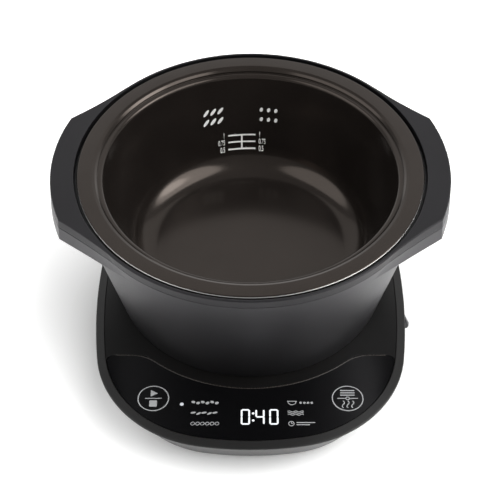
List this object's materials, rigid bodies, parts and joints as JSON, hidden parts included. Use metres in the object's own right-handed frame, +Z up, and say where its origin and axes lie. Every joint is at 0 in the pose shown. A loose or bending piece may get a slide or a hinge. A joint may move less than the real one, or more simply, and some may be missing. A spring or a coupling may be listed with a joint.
{
  "type": "rice cooker",
  "caption": "Compact rice cooker: coated pot in a lift-off housing with lug handles, on a heater base with a touch panel.",
  "frame": {"origin": "centre of the object's box at the surface its feet stand on", "axes": "+Z up, -Y to the front with the touch panel, +X to the side with the mains switch"},
  "size_m": [0.2316, 0.2354, 0.1273],
  "materials": {
    "pot_coat": "satin dark ceramic coat",
    "housing_plastic": "fine satin charcoal",
    "base_plastic": "satin brown-black",
    "panel_gloss": "deep gloss black",
    "silicone": "matt dark grey silicone",
    "foot_rubber": "matt black",
    "liner_aluminium": "rolled sheet",
    "plate_aluminium": "turned cast face",
    "element_steel": "drawn sheath",
    "screw_steel": "zinc plated",
    "fuse_tin": "tinned",
    "circuit_board": "green solder mask",
    "display_lit": "dark module with white segments",
    "lamp_lit": "clear lamp",
    "component_black": "moulded",
    "component_yellow": "boxed film",
    "connector_white": "nylon",
    "inlet_plastic": "moulded black",
    "rocker_plastic": "moulded black",
    "pin_brass": "plated",
    "lead_cover": "insulated lead",
    "earth_cover": "green and yellow insulation",
    "ribbon_grey": "flat ribbon"
  },
  "bodies": {
    "base": {"base_top_cover": "base_plastic", "base_bottom_cover": "base_plastic", "control_panel": "panel_gloss", "cover_screws": "screw_steel", "rubber_feet": "foot_rubber", "heating_plate": "plate_aluminium", "heating_element": "element_steel", "plate_seal": "silicone", "heater_posts": "screw_steel", "heater_screws": "screw_steel", "heat_reflector": "liner_aluminium", "sensor_guide": "element_steel", "thermal_fuse": "fuse_tin", "fuse_clip": "element_steel", "control_board": "circuit_board", "display_module": "display_lit", "indicator_leds": "lamp_lit", "touch_pads": "silicone", "control_screws": "screw_steel", "power_board": "circuit_board", "power_screws": "screw_steel", "power_relay": "component_black", "power_transformer": "component_black", "filter_capacitor": "component_yellow", "bulk_capacitor": "component_black", "buzzer": "component_black", "board_connectors": "connector_white", "mains_inlet": "inlet_plastic", "inlet_pins": "pin_brass", "inlet_screws": "screw_steel", "switch_body": "inlet_plastic", "switch_terminals": "pin_brass", "mains_leads": "lead_cover", "earth_lead": "earth_cover", "heater_leads": "lead_cover", "display_ribbon": "ribbon_grey"},
    "housing": {"pot_housing": "housing_plastic", "handle_ring": "housing_plastic", "handle_screws": "screw_steel", "pot_gasket": "silicone", "foot_ring": "silicone", "heat_liner": "liner_aluminium"},
    "pot": {"inner_pot": "pot_coat"},
    "sensor": {"sensor_plunger": "plate_aluminium", "sensor_clip": "screw_steel", "sensor_spring": "screw_steel"},
    "rocker": {"switch_rocker": "rocker_plastic"}
  },
  "joints": [
    {"name": "housing_lift", "type": "slide", "parent": "base", "child": "housing", "axis": [0, 0, 1], "range_m": [0, 0.08]},
    {"name": "pot_lift", "type": "slide", "parent": "housing", "child": "pot", "axis": [0, 0, 1], "range_m": [0, 0.09]},
    {"name": "sensor_press", "type": "slide", "parent": "base", "child": "sensor", "axis": [0, 0, 1], "range_m": [-0.003, 0], "stiffness_N_per_m": 400, "springref_m": 0.004, "deforming": ["sensor_spring"]},
    {"name": "rocker_tilt", "type": "hinge", "parent": "base", "child": "rocker", "pos_m": [0.0905, -0.00927, 0.021], "axis": [0, 0, 1], "range_deg": [-22, 0]}
  ]
}
